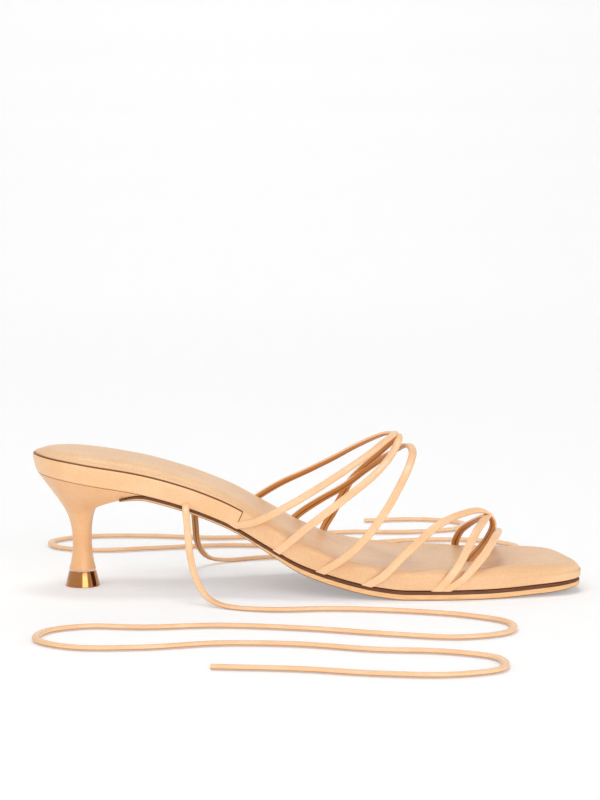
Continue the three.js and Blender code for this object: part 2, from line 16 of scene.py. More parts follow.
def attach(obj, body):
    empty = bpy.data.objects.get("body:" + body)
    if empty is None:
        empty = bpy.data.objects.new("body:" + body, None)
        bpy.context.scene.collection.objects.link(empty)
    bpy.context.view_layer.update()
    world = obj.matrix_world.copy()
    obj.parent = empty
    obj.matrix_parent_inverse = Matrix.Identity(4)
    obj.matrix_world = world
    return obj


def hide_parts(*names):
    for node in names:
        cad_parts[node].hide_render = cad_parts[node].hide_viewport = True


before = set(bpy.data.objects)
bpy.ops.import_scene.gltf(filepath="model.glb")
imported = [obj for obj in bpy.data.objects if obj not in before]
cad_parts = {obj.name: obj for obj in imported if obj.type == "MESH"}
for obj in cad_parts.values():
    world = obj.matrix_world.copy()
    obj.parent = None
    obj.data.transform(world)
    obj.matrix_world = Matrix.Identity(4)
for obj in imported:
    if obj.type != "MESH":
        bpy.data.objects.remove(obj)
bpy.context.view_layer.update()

MM = 0.001
print("solids:", ", ".join(sorted(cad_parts)))

# %% [markdown]
# The camera comes first. The picture was taken from the inner side of the shoe with a long
# lens, a little above the sole, so a lens of 117 mm looks down by 6.5 degrees from 1.17 m.
# The standard view transform shows a leather's colour as bright and warm as it is.

# %% The camera
LOOK_DOWN = math.radians(6.5)
LOOK_AT = Vector((98.5, 0, 84.5)) * MM
LOOK_FROM = 1.17
bpy.ops.object.camera_add(
    location=LOOK_AT + LOOK_FROM * Vector((0, -math.cos(LOOK_DOWN), math.sin(LOOK_DOWN))),
    rotation=(math.pi / 2 - LOOK_DOWN, 0, 0),
)
camera = bpy.context.object
camera.data.lens = 117
camera.data.sensor_width = 36
bpy.context.scene.camera = camera
bpy.context.scene.view_settings.view_transform = "Standard"
print("camera at", tuple(round(c, 4) for c in camera.location))

# %% [markdown]
# Straps and ties are long bands that follow a route. A smooth curve through a few listed points gives
# the route, and we walk along it in even steps. The centripetal kind of curve never loops or
# overshoots between two close points.

# %% A smooth walk through points
CURVE_PARTS = 14


def smooth(points):
    """Fine points of a centripetal curve through the given points."""
    p = [Vector(point) for point in points]
    p = [2 * p[0] - p[1], *p, 2 * p[-1] - p[-2]]
    fine = []
    for a, b, c, d in zip(p, p[1:], p[2:], p[3:]):
        ab, bc, cd = ((q - r).length ** 0.5 for q, r in ((b, a), (c, b), (d, c)))
        leave = ((b - a) / ab - (c - a) / (ab + bc) + (c - b) / bc) * bc
        arrive = ((c - b) / bc - (d - b) / (bc + cd) + (d - c) / cd) * bc
        for k in range(CURVE_PARTS):
            t = k / CURVE_PARTS
            curve = (3 * (c - b) - 2 * leave - arrive) * t * t
            fine.append(b + leave * t + curve + (2 * (b - c) + leave + arrive) * t**3)
    return [*fine, p[-2]]


def walk(points, steps):
    """steps + 1 places at even distances along the smooth curve, and its length."""
    fine = smooth(points)
    reach = [0.0]
    for a, b in zip(fine, fine[1:]):
        reach.append(reach[-1] + (b - a).length)
    places = []
    for i in range(steps + 1):
        goal = reach[-1] * i / steps
        k = min(max(bisect.bisect_left(reach, goal), 1), len(fine) - 1)
        t = (goal - reach[k - 1]) / (reach[k] - reach[k - 1])
        places.append(fine[k - 1].lerp(fine[k], t))
    return places, reach[-1]


# %% [markdown]
# A strap is folded leather: wide, thin, and round at both edges. We model one straight
# blank as by hand, a bar whose long edges are bevelled and whose end face is extruded step
# by step. Then the blank is laid along its route, as a strap is pulled over the last.

# %% A straight blank, laid along its route
def nothing_selected():
    if bpy.context.object and bpy.context.object.mode != "OBJECT":
        bpy.ops.object.mode_set(mode="OBJECT")
    bpy.ops.object.select_all(action="DESELECT")


def straight_blank(name, width, thick, steps):
    """A bar along X with one ring of points at each whole number of metres."""
    nothing_selected()
    bpy.ops.mesh.primitive_cube_add(size=1, location=(0.5, 0, 0))
    piece = bpy.context.object
    piece.name = piece.data.name = name
    piece.scale = (1, width, thick)
    bpy.ops.object.transform_apply(location=True, rotation=False, scale=True)
    bpy.ops.object.mode_set(mode="EDIT")
    bpy.ops.mesh.select_mode(type="EDGE")
    bpy.ops.mesh.select_all(action="DESELECT")
    mesh = bmesh.from_edit_mesh(piece.data)
    for edge in mesh.edges:
        a, b = edge.verts
        edge.select_set(abs(a.co.x - b.co.x) > 0.5)
    bpy.ops.mesh.bevel(offset=0.46 * thick, segments=4, profile=0.5)
    bpy.ops.mesh.select_mode(type="FACE")
    bpy.ops.mesh.select_all(action="DESELECT")
    mesh = bmesh.from_edit_mesh(piece.data)
    for face in mesh.faces:
        face.select_set(face.normal.x > 0.9)
    for _ in range(steps - 1):
        bpy.ops.mesh.extrude_region_move(TRANSFORM_OT_translate={"value": (1, 0, 0)})
    bpy.ops.object.mode_set(mode="OBJECT")
    return piece


def lay_along(piece, places, away):
    """Moves the blank's rings to their places; away gives the way the outer face looks."""
    last = len(places) - 1
    half = max(v.co.z for v in piece.data.vertices)
    inside = piece.data.attributes.new("inside", "FLOAT", "POINT")
    along = piece.data.attributes.new("along", "FLOAT", "POINT")
    across = piece.data.attributes.new("across", "FLOAT", "POINT")
    step = (places[1] - places[0]).length
    for vertex in piece.data.vertices:
        i = round(vertex.co.x)
        ahead = (places[min(i + 1, last)] - places[max(i - 1, 0)]).normalized()
        face = away(places[i], i / last)
        face = (face - ahead * face.dot(ahead)).normalized()
        side = face.cross(ahead)
        inside.data[vertex.index].value = 0.5 - 0.5 * vertex.co.z / half
        along.data[vertex.index].value = i * step
        across.data[vertex.index].value = vertex.co.y
        vertex.co = places[i] + side * vertex.co.y + face * vertex.co.z
    nothing_selected()
    piece.select_set(True)
    bpy.context.view_layer.objects.active = piece
    bpy.ops.object.shade_smooth_by_angle(angle=math.radians(50))


# %% [markdown]
# The two leg ties are flat leather cords with bare cut ends. Worn, they wind up the leg; the
# shoe stands empty here, so each one drops from the sole to the floor and lies there in
# loose curves. Their points repeat the solids' points.

# %% The two leg ties
TIE_WIDTH, TIE_THICK, TIE_LAY = 3.2 * MM, 1.8 * MM, 1.4 * MM
TIE_STEPS = 240
INNER_TIE = [
    (0.048, -0.0224, 0.0402), (0.048, -0.0276, 0.0396), (0.049, -0.034, 0.0325),
    (0.05, -0.038, 0.023), (0.0525, -0.042, 0.012), (0.058, -0.049, 0.004),
    (0.066, -0.056), (0.086, -0.064), (0.112, -0.062), (0.14, -0.066), (0.168, -0.076),
    (0.186, -0.092), (0.184, -0.112), (0.164, -0.122), (0.136, -0.116), (0.1, -0.104),
    (0.064, -0.098), (0.034, -0.102), (0.01, -0.1), (-0.006, -0.11), (-0.008, -0.128),
    (0.008, -0.142), (0.036, -0.142), (0.066, -0.134), (0.098, -0.136), (0.128, -0.146),
    (0.156, -0.15), (0.176, -0.162), (0.176, -0.182), (0.156, -0.192), (0.128, -0.19),
    (0.098, -0.182), (0.064, -0.178),
]
OUTER_TIE = [
    (0.048, 0.0225, 0.0402), (0.048, 0.0277, 0.0396), (0.049, 0.034, 0.0325),
    (0.0495, 0.0385, 0.023), (0.0505, 0.043, 0.012), (0.055, 0.051, 0.004),
    (0.063, 0.058), (0.082, 0.066), (0.11, 0.07), (0.14, 0.064), (0.17, 0.066),
    (0.196, 0.078), (0.204, 0.098), (0.188, 0.114), (0.16, 0.116), (0.128, 0.106),
    (0.094, 0.098), (0.06, 0.1), (0.028, 0.092), (0, 0.086), (-0.02, 0.094),
    (-0.024, 0.112), (-0.008, 0.126), (0.022, 0.128), (0.056, 0.122), (0.092, 0.13),
    (0.124, 0.14), (0.154, 0.14), (0.178, 0.15), (0.182, 0.168), (0.162, 0.18),
    (0.132, 0.176),
]


def make_tie(name, node, route):
    points = [(*p, TIE_LAY) if len(p) == 2 else p for p in route]
    places, length = walk(points, TIE_STEPS)
    tie = straight_blank(name, TIE_WIDTH, TIE_THICK, TIE_STEPS)
    lay_along(tie, places, lambda place, part: Vector((0, 0, 1)))
    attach(tie, "root")
    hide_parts(node)
    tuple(points[0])
    print(name, "is", round(length, 3), "m long")
    return tie


inner_tie = make_tie("leg_tie_inner", "inner_tie", INNER_TIE)
outer_tie = make_tie("leg_tie_outer", "outer_tie", OUTER_TIE)

# %% [markdown]
# The last gives every other piece its shape. Two tables hold the outline, one for each side
# of the foot, and one table holds the side view: how high the footbed lies, how thick the
# layers are, and how the seat's wall tucks in. All lengths in these tables are millimetres.

# %% The last
LENGTH, SETBACK = 246.5, 22
SEAT, WAIST, BALL = 49, 47, 76
RISE, SPRING, SOLE_EDGE = 48.6, 2.2, 4.2
BACK, TOE = -SETBACK, LENGTH - SETBACK

# Share of the length, and the distance from the middle line.
OUTER_SIDE = [
    (0, 0), (0.012, 0.2 * SEAT), (0.045, 0.37 * SEAT), (0.105, 0.485 * SEAT),
    (0.18, 0.5 * SEAT), (0.27, 0.5 * WAIST), (0.375, 0.35 * BALL), (0.46, 0.408 * BALL),
    (0.545, 0.462 * BALL), (0.655, 0.498 * BALL), (0.745, 0.475 * BALL),
    (0.82, 0.435 * BALL), (0.87, 0.415 * BALL), (0.912, 0.4 * BALL), (0.944, 0.36 * BALL),
    (0.968, 0.275 * BALL), (0.986, 0.12 * BALL), (1, -0.14 * BALL),
]
INNER_SIDE = [
    (0, 0), (0.012, -0.2 * SEAT), (0.045, -0.38 * SEAT), (0.105, -0.49 * SEAT),
    (0.18, -0.497 * SEAT), (0.27, -0.5 * WAIST), (0.35, -0.33 * BALL),
    (0.434, -0.37 * BALL), (0.52, -0.435 * BALL), (0.6, -0.485 * BALL),
    (0.69, -0.507 * BALL), (0.77, -0.497 * BALL), (0.848, -0.45 * BALL),
    (0.914, -0.385 * BALL), (0.967, -0.315 * BALL), (0.992, -0.235 * BALL),
    (1, -0.14 * BALL),
]
# Share of the length, then lift, toe spring, footbed, outsole, the top's middle, the tuck.
SIDE_VIEW = [
    (0, 1 * RISE, 0, 9.96, 2.4, 1.8, 1.7),
    (0.09, 0.928 * RISE, 0, 10.6, 2.4, 2.8, 1.36),
    (0.193, 0.842 * RISE, 0, 10.6, 2.4, 3, 0.68),
    (0.27, 0.739 * RISE, 0, 10.6, 2.4, 2.9, 0.34),
    (0.344, 0.605 * RISE, 0, 10.6, 2.4, 2.4, 0),
    (0.377, 0.527 * RISE, 0, 10.6, 2.4, 2.25, 0),
    (0.43, 0.37 * RISE, 0, 10.6, 2.88, 2.1, 0),
    (0.492, 0.206 * RISE, 0, 10.39, 3.91, 1.05, 0),
    (0.565, 0.093 * RISE, 0, 9.02, 4.2, -0.3, 0),
    (0.62, 0.033 * RISE, 0, 9.4, 4.2, -0.9, 0),
    (0.68, 0, 0, 9.4, 4.2, -0.9, 0),
    (0.81, 0, 0, 9.4, 4.2, -0.9, 0),
    (0.93, 0, 0.55 * SPRING, 8.27, 4.2, -0.36, 0),
    (1, 0, SPRING, 6.9, 3.36, 0, 0),
]


def column(values):
    """A smooth function through one column of the side view that never overshoots."""
    x = [row[0] for row in SIDE_VIEW]
    rise = [(b - a) / (q - p) for a, b, p, q in zip(values, values[1:], x, x[1:])]
    slope = [rise[0]]
    for before, after in zip(rise, rise[1:]):
        flat = before * after <= 0
        slope.append(0 if flat else 2 * before * after / (before + after))
    slope.append(rise[-1])

    def at(share):
        i = min(max(bisect.bisect_right(x, share) - 1, 0), len(x) - 2)
        span = x[i + 1] - x[i]
        t = min(1, max(0, (share - x[i]) / span))
        ease = t * t * (3 - 2 * t)
        bend = t * (1 - t) * (slope[i] * (1 - t) - slope[i + 1] * t)
        return values[i] + (values[i + 1] - values[i]) * ease + span * bend

    return at


columns = [column([row[k] for row in SIDE_VIEW]) for k in range(1, 7)]
lift, spring, bed, sole, middle, tuck = columns


def share(x):
    return (x - BACK) / LENGTH


def underside(x):
    return SOLE_EDGE + lift(share(x)) + spring(share(x))


def footbed_top(x):
    return underside(x) + bed(share(x))


def edge_of(rows, other):
    """One side of the outline as a function of x; it runs on into the other side's rows."""
    round_ends = [other[1], *rows, other[-2]]
    fine = smooth([(BACK + at * LENGTH, out, 0) for at, out in round_ends])
    fine = fine[CURVE_PARTS:-CURVE_PARTS]
    places = [p.x for p in fine]

    def edge(x):
        k = min(max(bisect.bisect_left(places, x), 1), len(fine) - 1)
        a, b = fine[k - 1], fine[k]
        t = min(1, max(0, (x - a.x) / max(b.x - a.x, 1e-9)))
        return a.y + (b.y - a.y) * t

    return edge


outer_edge, inner_edge = edge_of(OUTER_SIDE, INNER_SIDE), edge_of(INNER_SIDE, OUTER_SIDE)
print("ball", round(outer_edge(145) - inner_edge(145), 1), "mm wide")

# %% [markdown]
# The footbed, the outsole and the heel are skins over rings. A ring is the outline, moved in
# towards the foot's middle line. A grid is the leather blank: each row of its points is laid
# on one ring, the seam is merged, and the modifiers round what is left. A hand would pull
# the same points; the tables keep the rows even.

# %% Rings, and a skin over them
SPINE_START, SPINE_END = BACK + SEAT / 2, TOE - 20.5


def foot_point(x, side, inset, height, tucked=0):
    """A point of the outline at x, moved in by inset, a number or a function of x."""
    inset = inset(x) if callable(inset) else inset
    mid = min(max(x, SPINE_START), SPINE_END)
    spine = Vector((mid, (outer_edge(mid) + inner_edge(mid)) / 2))
    edge = Vector((x, outer_edge(x) if side > 0 else inner_edge(x)))
    whole = inset + tucked * tuck(share(x))
    at = edge.lerp(spine, min(1, whole / (edge - spine).length))
    return Vector((at.x, at.y, height(at.x)))


def foot_ring(inset, height, tucked=0, stations=130):
    """The outline as a closed ring, from the back round the outer side and home."""
    xs = [BACK + LENGTH * (1 - math.cos(math.pi * i / stations)) / 2 for i in range(stations + 1)]
    outer = [foot_point(x, 1, inset, height, tucked) for x in xs]
    inner = [foot_point(x, -1, inset, height, tucked) for x in xs[1:-1]]
    return outer + inner[::-1]


def skin(name, rows, closed=True, levels=None):
    """A grid laid over rows of points. levels is one number a row, kept as an attribute."""
    if closed:
        rows = [[*row, row[0]] for row in rows]
    nothing_selected()
    wide, high = len(rows[0]), len(rows)
    bpy.ops.mesh.primitive_grid_add(x_subdivisions=wide - 1, y_subdivisions=high - 1, size=1)
    piece = bpy.context.object
    piece.name = piece.data.name = name
    level = piece.data.attributes.new("level", "FLOAT", "POINT")
    for vertex in piece.data.vertices:
        row, place = divmod(vertex.index, wide)
        vertex.co = rows[row][place] * MM
        level.data[vertex.index].value = levels[row] if levels else 0
    bpy.ops.object.mode_set(mode="EDIT")
    bpy.ops.mesh.select_all(action="SELECT")
    bpy.ops.mesh.remove_doubles(threshold=2e-6)
    bpy.ops.mesh.normals_make_consistent(inside=False)
    bpy.ops.object.mode_set(mode="OBJECT")
    return piece


def rounded(piece, levels=1, angle=60):
    """Applies a subdivision surface and smooth shading."""
    nothing_selected()
    piece.select_set(True)
    bpy.context.view_layer.objects.active = piece
    if levels:
        finer = piece.modifiers.new("finer", "SUBSURF")
        finer.levels = finer.render_levels = levels
        bpy.ops.object.modifier_apply(modifier=finer.name)
    bpy.ops.object.shade_smooth_by_angle(angle=math.radians(angle))


# %% [markdown]
# The footbed is board and foam under leather. Its wall is straight, its edge is a soft
# round, and inside the edge the padding sinks a little. The foot has worked soft creases
# into it ahead of the toe post and along the inner edge. Where the seat's cover goes round
# the wall, the wall steps in by the cover's thickness.

# %% The padded footbed
BAND_END, BAND_THICK, BAND_SLANT = BACK + 92.2, 0.75, 0.46
FIT = 0.3
EDGE_ROUND, TOE_ROUND = 3, 5.4
PULLED_IN, PULL_WIDTH = 0.7, 3.4
FULL = 999
# Where straps press into the padded edge, as x in millimetres on the inner and outer side.
PRESSED = {-1: (76, 92, 116, 135, 164, 170), 1: (75, 95, 108, 171, 185)}
# Both ends of a crease, its depth and its half width, in millimetres.
CREASES = [
    (177, -24, 192, 6, 0.85, 1.8), (184, -26, 199, -6, 0.8, 1.6),
    (192, -27, 204, -15, 0.55, 1.4), (166, -30, 173, -12, 0.6, 1.5),
    (160, -32.5, 178, -30.5, 0.7, 1.3), (139, -34, 152, -34.5, 0.5, 1.3),
    (150, 4, 158, 24, 0.3, 1.8), (120, -20, 126, 12, 0.25, 2),
    (198, -18, 206, -24, 0.3, 1.4), (96, -16, 100, 10, 0.2, 2),
]


def crease(place):
    """How far the creases pull the leather down at a place."""
    down = 0
    for x0, y0, x1, y1, depth, half in CREASES:
        a, run = Vector((x0, y0)), Vector((x1 - x0, y1 - y0))
        at = Vector((place.x, place.y)) - a
        t = min(1, max(0, at.dot(run) / run.length_squared))
        bow = 1.6 * math.sin(math.pi * t)
        off = (at - run * t).length if t in (0, 1) else abs(at.cross(run) / run.length - bow)
        fade = math.sin(math.pi * min(1, max(0, 0.15 + 0.7 * t)))
        d = off / half
        down += depth * fade * (math.exp(-d * d) - 0.45 * math.exp(-((d - 2.1) ** 2)))
    return down


def round_at(x):
    """The radius of the footbed's edge, which grows towards the toe."""
    t = min(1, max(0, (share(x) - 0.7) / 0.17))
    return EDGE_ROUND + (TOE_ROUND - EDGE_ROUND) * t * t * (3 - 2 * t)


def pressed(place):
    """How far the straps pull the padded edge in at a place."""
    side = 1 if place.y > 0 else -1
    return PULLED_IN * sum(math.exp(-(((place.x - x) / PULL_WIDTH) ** 2)) for x in PRESSED[side])


def under_cover(x):
    """1 where the seat's cover goes round the wall, 0 ahead of it."""
    t = min(1, max(0, (BAND_END + 1 - x) / 1.2))
    return t * t * (3 - 2 * t)


def footbed_rings():
    under = lambda x: underside(x) + FIT
    rings = [foot_ring(FULL, under), foot_ring(12, under, 1), foot_ring(2, under, 1)]
    for up, tucked in ((0, 1), (0.09, 0.84), (0.18, 0.68), (0.36, 0.34), (0.55, 0.08)):
        rings.append(foot_ring(0, lambda x, up=up: under(x) + up * (bed(share(x)) - FIT), tucked))
    for turn in range(0, 91, 15):
        go, down = 1 - math.cos(math.radians(turn)), 1 - math.sin(math.radians(turn))
        height = lambda x, k=down: footbed_top(x) - k * round_at(x)
        rings.append(foot_ring(lambda x, k=go: k * round_at(x), height))
    for beyond, part in (
        (0.6, 0.14), (1.5, 0.4), (2.8, 0.68), (4.5, 0.82), (7, 0.93), (10, 0.98), (13, 1),
        (17, 1), (21.5, 1), (26.5, 1), (31, 1), (FULL, 1),
    ):
        rings.append(
            foot_ring(
                lambda x, beyond=beyond: round_at(x) + beyond,
                lambda x, k=part: footbed_top(x) + k * middle(share(x)),
            )
        )
    return rings


footbed_rows = footbed_rings()
COVERED_ROWS = range(3, 11)
# How much of the straps' pull each ring takes.
PADDED_ROWS = {
    7: 0.4, 8: 0.7, 9: 0.9, 10: 1, 11: 1, 12: 1, 13: 1, 14: 1, 15: 0.9, 16: 0.7, 17: 0.4, 18: 0.15,
}
for k in COVERED_ROWS:
    for point in footbed_rows[k]:
        inward = Vector((SPINE_START if point.x < SPINE_START else point.x, 0, point.z)) - point
        point += inward.normalized() * BAND_THICK * under_cover(point.x)
for k, held in PADDED_ROWS.items():
    for point in footbed_rows[k]:
        middle_line = Vector((point.x, 0, point.z))
        point += (middle_line - point).normalized() * held * pressed(point)
        point.z -= 0.6 * held * pressed(point)
for row in footbed_rows[12:]:
    for point in row:
        puff = 0.12 * noise.noise(point * 0.045)
        point.z += puff - crease(point)
footbed = skin("padded_footbed", footbed_rows)
rounded(footbed)
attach(footbed, "root")
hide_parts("footbed")
print("footbed:", len(footbed.data.polygons), "faces")

# %% [markdown]
# A band of leather covers the seat's wall from the inner waist round the back to the outer waist. Its
# top edge is cut and painted dark, and the dark colour runs a little down the outer face and along the
# front end: a fine dark line, partly edge paint and partly painted shade for the gap between cover and
# footbed. Both ends slant.

# %% The seat's cover
BAND_TOP = 1.3
BAND_PLACES = 90


def band_point(around, inset, height, tucked):
    """A point of the band; around runs from -1, the inner end, to 1, the outer end."""
    z0 = underside(BAND_END)
    end = BAND_END
    for _ in range(4):
        end = BAND_END + BAND_SLANT * (height(end) - z0)
    x = BACK + (end - BACK) * (1 - math.cos(abs(around) * math.pi / 2))
    return foot_point(max(x, BACK + 1e-3), 1 if around > 0 else -1, inset, height, tucked)


def seat_cover_rows():
    sections = []
    for up, tucked in ((-0.018, 1), (0.18, 0.68), (0.36, 0.34), (0.55, 0.08)):
        sections.append((0, lambda x, up=up: underside(x) + FIT + up * (bed(share(x)) - FIT), tucked))
    for turn in (0, 10, 16, 18.5, 20.5, 33):
        inset = EDGE_ROUND * (1 - math.cos(math.radians(turn)))
        drop = EDGE_ROUND * (1 - math.sin(math.radians(turn)))
        sections.append((inset, lambda x, drop=drop: footbed_top(x) - drop, 0))
    outside = len(sections)
    edge_drop = EDGE_ROUND * (1 - math.sin(math.radians(34)))
    edge_inset = EDGE_ROUND * (1 - math.cos(math.radians(34)))
    for step in (0.12, 0.5, 0.88):
        sections.append(
            (edge_inset + step * BAND_THICK, lambda x: footbed_top(x) - edge_drop + 0.08, 0)
        )
    for inset, height, tucked in sections[outside - 2 :: -1]:
        sections.append((inset + BAND_THICK, height, tucked))
    # The last two outside rows and the three top rows take the dark colour: edge paint, widened into
    # painted shade for the gap along the footbed.
    levels = [0] * (outside - 2) + [1] * 5 + [0] * (outside - 1)
    inner = [2 * i / BAND_PLACES - 1 for i in range(1, BAND_PLACES)]
    places = [-1, -0.995, -0.9925, *inner, 0.9925, 0.995, 1]
    rows = [[band_point(a, *section) for a in places] for section in sections]
    return [*rows, rows[0]], [*levels, levels[0]]


band_rows, band_levels = seat_cover_rows()
seat_cover = skin("seat_wall_cover", band_rows, closed=False, levels=band_levels)
bpy.ops.object.mode_set(mode="EDIT")
bpy.ops.mesh.select_all(action="SELECT")
bpy.ops.mesh.fill_holes(sides=0)
bpy.ops.mesh.normals_make_consistent(inside=False)
bpy.ops.object.mode_set(mode="OBJECT")
rounded(seat_cover, 1, 40)
# The last 0.7 mm of the front end takes the same dark colour: edge paint and painted shade for the gap
# at the cover's end.
edge_paint_and_gap_shade = seat_cover.data.attributes["level"]
for vertex in seat_cover.data.vertices:
    x, _, z = vertex.co / MM
    ahead = x - (BAND_END + BAND_SLANT * (z - underside(BAND_END)))
    if ahead > -0.7:
        edge_paint_and_gap_shade.data[vertex.index].value = 1
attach(seat_cover, "root")
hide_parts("seat_cover")
print("seat cover:", len(seat_cover.data.polygons), "faces")

# %% [markdown]
# The outsole is one slab of sole leather, skived thin at the waist. Its back end runs under the wedge
# of the heel's breast, thinner still. We make the whole slab and cut its back end off flat with
# bisect. A level on each row tells the edge paint, the natural edge and the dark ground side, which is
# painted shade, apart later.

# %% The outsole
BREAST, SOLE_BACK = BACK + 51.5, BACK + 40
WEDGE, WEDGE_BEND, WEDGE_SKIVE = 4.6, 1.4, 0.75
SOLE_INSET, SOLE_CHAMFER = 0.4, 0.6


def under_wedge(x):
    """0 ahead of the heel's breast, 1 at the outsole's back end."""
    return min(1, max(0, (BREAST - x) / (BREAST - SOLE_BACK))) ** WEDGE_BEND


def between(part, down=0.0):
    """A height inside the outsole: part is 0 at its ground side and 1 at its top."""
    def height(x):
        thick = sole(share(x)) * (1 - WEDGE_SKIVE * under_wedge(x))
        return underside(x) - WEDGE * under_wedge(x) - thick * (1 - part) + down

    return height


outsole_rows = [
    foot_ring(inset, height, 1)
    for inset, height in (
        (FULL, between(0)), (14, between(0)), (3, between(0)),
        (SOLE_INSET + SOLE_CHAMFER + 0.3, between(0)), (SOLE_INSET + 0.25, between(0, 0.2)),
        (SOLE_INSET, between(0, SOLE_CHAMFER + 0.1)), (SOLE_INSET, between(0.5)),
        (SOLE_INSET + 0.02, between(0.6)), (SOLE_INSET + 0.18, between(0.66)),
        (SOLE_INSET + 0.22, between(0.97)), (SOLE_INSET + 0.5, between(1)),
        (4, between(1)), (FULL, between(1)),
    )
]
outsole_levels = [0, 0, 0, 0, 0.1, 0.2, 0.5, 0.6, 1, 1, 1, 1, 1]
outsole = skin("leather_outsole", outsole_rows, levels=outsole_levels)
rounded(outsole, 1, 40)
bpy.ops.object.mode_set(mode="EDIT")
bpy.ops.mesh.select_all(action="SELECT")
bpy.ops.mesh.bisect(
    plane_co=((SOLE_BACK + FIT) * MM, 0, 0), plane_no=(1, 0, 0), use_fill=True, clear_inner=True
)
bpy.ops.object.mode_set(mode="OBJECT")
rounded(outsole, 0, 40)
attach(outsole, "root")
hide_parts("outsole")
print("outsole:", len(outsole.data.polygons), "faces")

# %% [markdown]
# A kitten heel is a moulded core covered with the same leather as the straps. At the seat it
# has the seat's outline and a flat breast; it runs in to a slim round neck and opens again
# a little above the tip. Each section is a ring between those two shapes.

# %% The covered heel
NECK, TIP_TOP, TIP_FOOT, TIP_HEIGHT = 8.5, 12.2, 16, 7.2
AROUND = 96
# Height as a share of the seat's, how much it follows the seat's slope, how much it keeps
# of the seat's outline and of its reach to the front, and how far it opens to the tip.
HEEL_SECTIONS = [
    (1, 1, 1, 1, 0), (0.985, 1.05, 0.975, 0.9, 0), (0.96, 1.15, 0.93, 0.76, 0),
    (0.909, 1.3, 0.81, 0.55, 0), (0.848, 1.2, 0.63, 0.34, 0), (0.783, 0.9, 0.43, 0.175, 0),
    (0.74, 0.5, 0.3, 0.1, 0), (0.7, 0.2, 0.2, 0.06, 0), (0.62, 0, 0.09, 0.02, 0),
    (0.53, 0, 0.03, 0, 0), (0.43, 0, 0, 0, 0), (0.35, 0, 0, 0, 0.06),
    (0.278, 0, 0, 0, 0.26), (0.205, 0, 0, 0, 0.6),
]
COVER_INSET = 0.35


def seat_reach(angle):
    """How far the seat's outline lies from the heel's axis in a direction."""
    near, far = 0, LENGTH
    for _ in range(40):
        half = (near + far) / 2
        x, y = half * math.cos(angle), half * math.sin(angle)
        edge = outer_edge(max(x, BACK)) if y > 0 else inner_edge(max(x, BACK))
        if BACK < x < BREAST and abs(y) < abs(edge):
            near = half
        else:
            far = half
    x = near * math.cos(angle)
    return near - COVER_INSET - (0 if x > 0.9 * BREAST else tuck(share(x)))


def heel_ring(level, tilt, hold, front, flare):
    seat = underside(0)
    radius = (NECK + (TIP_TOP - NECK) * flare) / 2
    ring = []
    for i in range(AROUND):
        angle = math.pi - 2 * math.pi * i / AROUND
        beyond = reaches[i] - radius
        x = math.cos(angle) * (radius + beyond * (front if math.cos(angle) > 0 else hold))
        y = math.sin(angle) * (radius + beyond * hold)
        z = seat * level + (underside(x) - seat) * tilt
        if x > SOLE_BACK - FIT:
            z = max(z, underside(x) - WEDGE * under_wedge(x) + FIT / 2)
        ring.append(Vector((x, y, z)))
    return ring


reaches = [seat_reach(math.pi - 2 * math.pi * i / AROUND) for i in range(AROUND)]
foot_level = (TIP_HEIGHT + FIT / 2) / underside(0)
heel_rows = [heel_ring(*section) for section in HEEL_SECTIONS]
heel_rows += [heel_ring(foot_level + 0.008, 0, 0, 0, 1.04), heel_ring(foot_level, 0, 0, 0, 1)]
pole = [Vector((0, 0, underside(0))) for _ in range(AROUND)]
foot_pole = [Vector((0, 0, foot_level * underside(0))) for _ in range(AROUND)]
heel = skin("covered_heel", [pole, heel_ring(1, 1, 0.97, 0.97, 0), *heel_rows, foot_pole])
rounded(heel, 2, 70)
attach(heel, "root")
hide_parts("heel")
print("heel:", len(heel.data.polygons), "faces")

# %% [markdown]
# The heel stands on a turned metal tip. A cylinder is the start: its top face is scaled in,
# inset and pressed down to make the rim that holds the heel, and its edges are bevelled.

# %% The metal tip
nothing_selected()
bpy.ops.mesh.primitive_cylinder_add(
    vertices=96, radius=TIP_FOOT / 2 * MM, depth=TIP_HEIGHT * MM, location=(0, 0, TIP_HEIGHT / 2 * MM)
)
heel_tip = bpy.context.object
heel_tip.name = heel_tip.data.name = "metal_heel_tip"
bpy.ops.object.transform_apply(location=True, rotation=False, scale=False)
bpy.ops.object.mode_set(mode="EDIT")
bpy.ops.mesh.select_mode(type="FACE")
bpy.ops.mesh.select_all(action="DESELECT")
mesh = bmesh.from_edit_mesh(heel_tip.data)
for face in mesh.faces:
    face.select_set(face.normal.z > 0.9)
bpy.ops.transform.resize(value=(TIP_TOP / TIP_FOOT, TIP_TOP / TIP_FOOT, 1))
bpy.ops.mesh.inset(thickness=0.5 * MM)
bpy.ops.transform.translate(value=(0, 0, -0.25 * MM))
bpy.ops.mesh.select_mode(type="EDGE")
bpy.ops.mesh.select_all(action="DESELECT")
mesh = bmesh.from_edit_mesh(heel_tip.data)
for edge in mesh.edges:
    a, b = edge.verts
    outside = min(a.co.xy.length, b.co.xy.length) > (TIP_TOP / 2 - 0.2) * MM
    edge.select_set(outside and abs(a.co.z - b.co.z) < 1e-6)
bpy.ops.mesh.bevel(offset=0.35 * MM, segments=4)
bpy.ops.object.mode_set(mode="OBJECT")
rounded(heel_tip, 0, 40)
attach(heel_tip, "root")
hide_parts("heel_tip")
print("heel tip:", len(heel_tip.data.polygons), "faces")

# %% [markdown]
# Six straps go over the foot. Each route starts between footbed and outsole on the inner
# side, and its rows give a share of the length, a share of the ball's width and a share of
# the group's height. A strap's outer face looks away from a line along the foot.

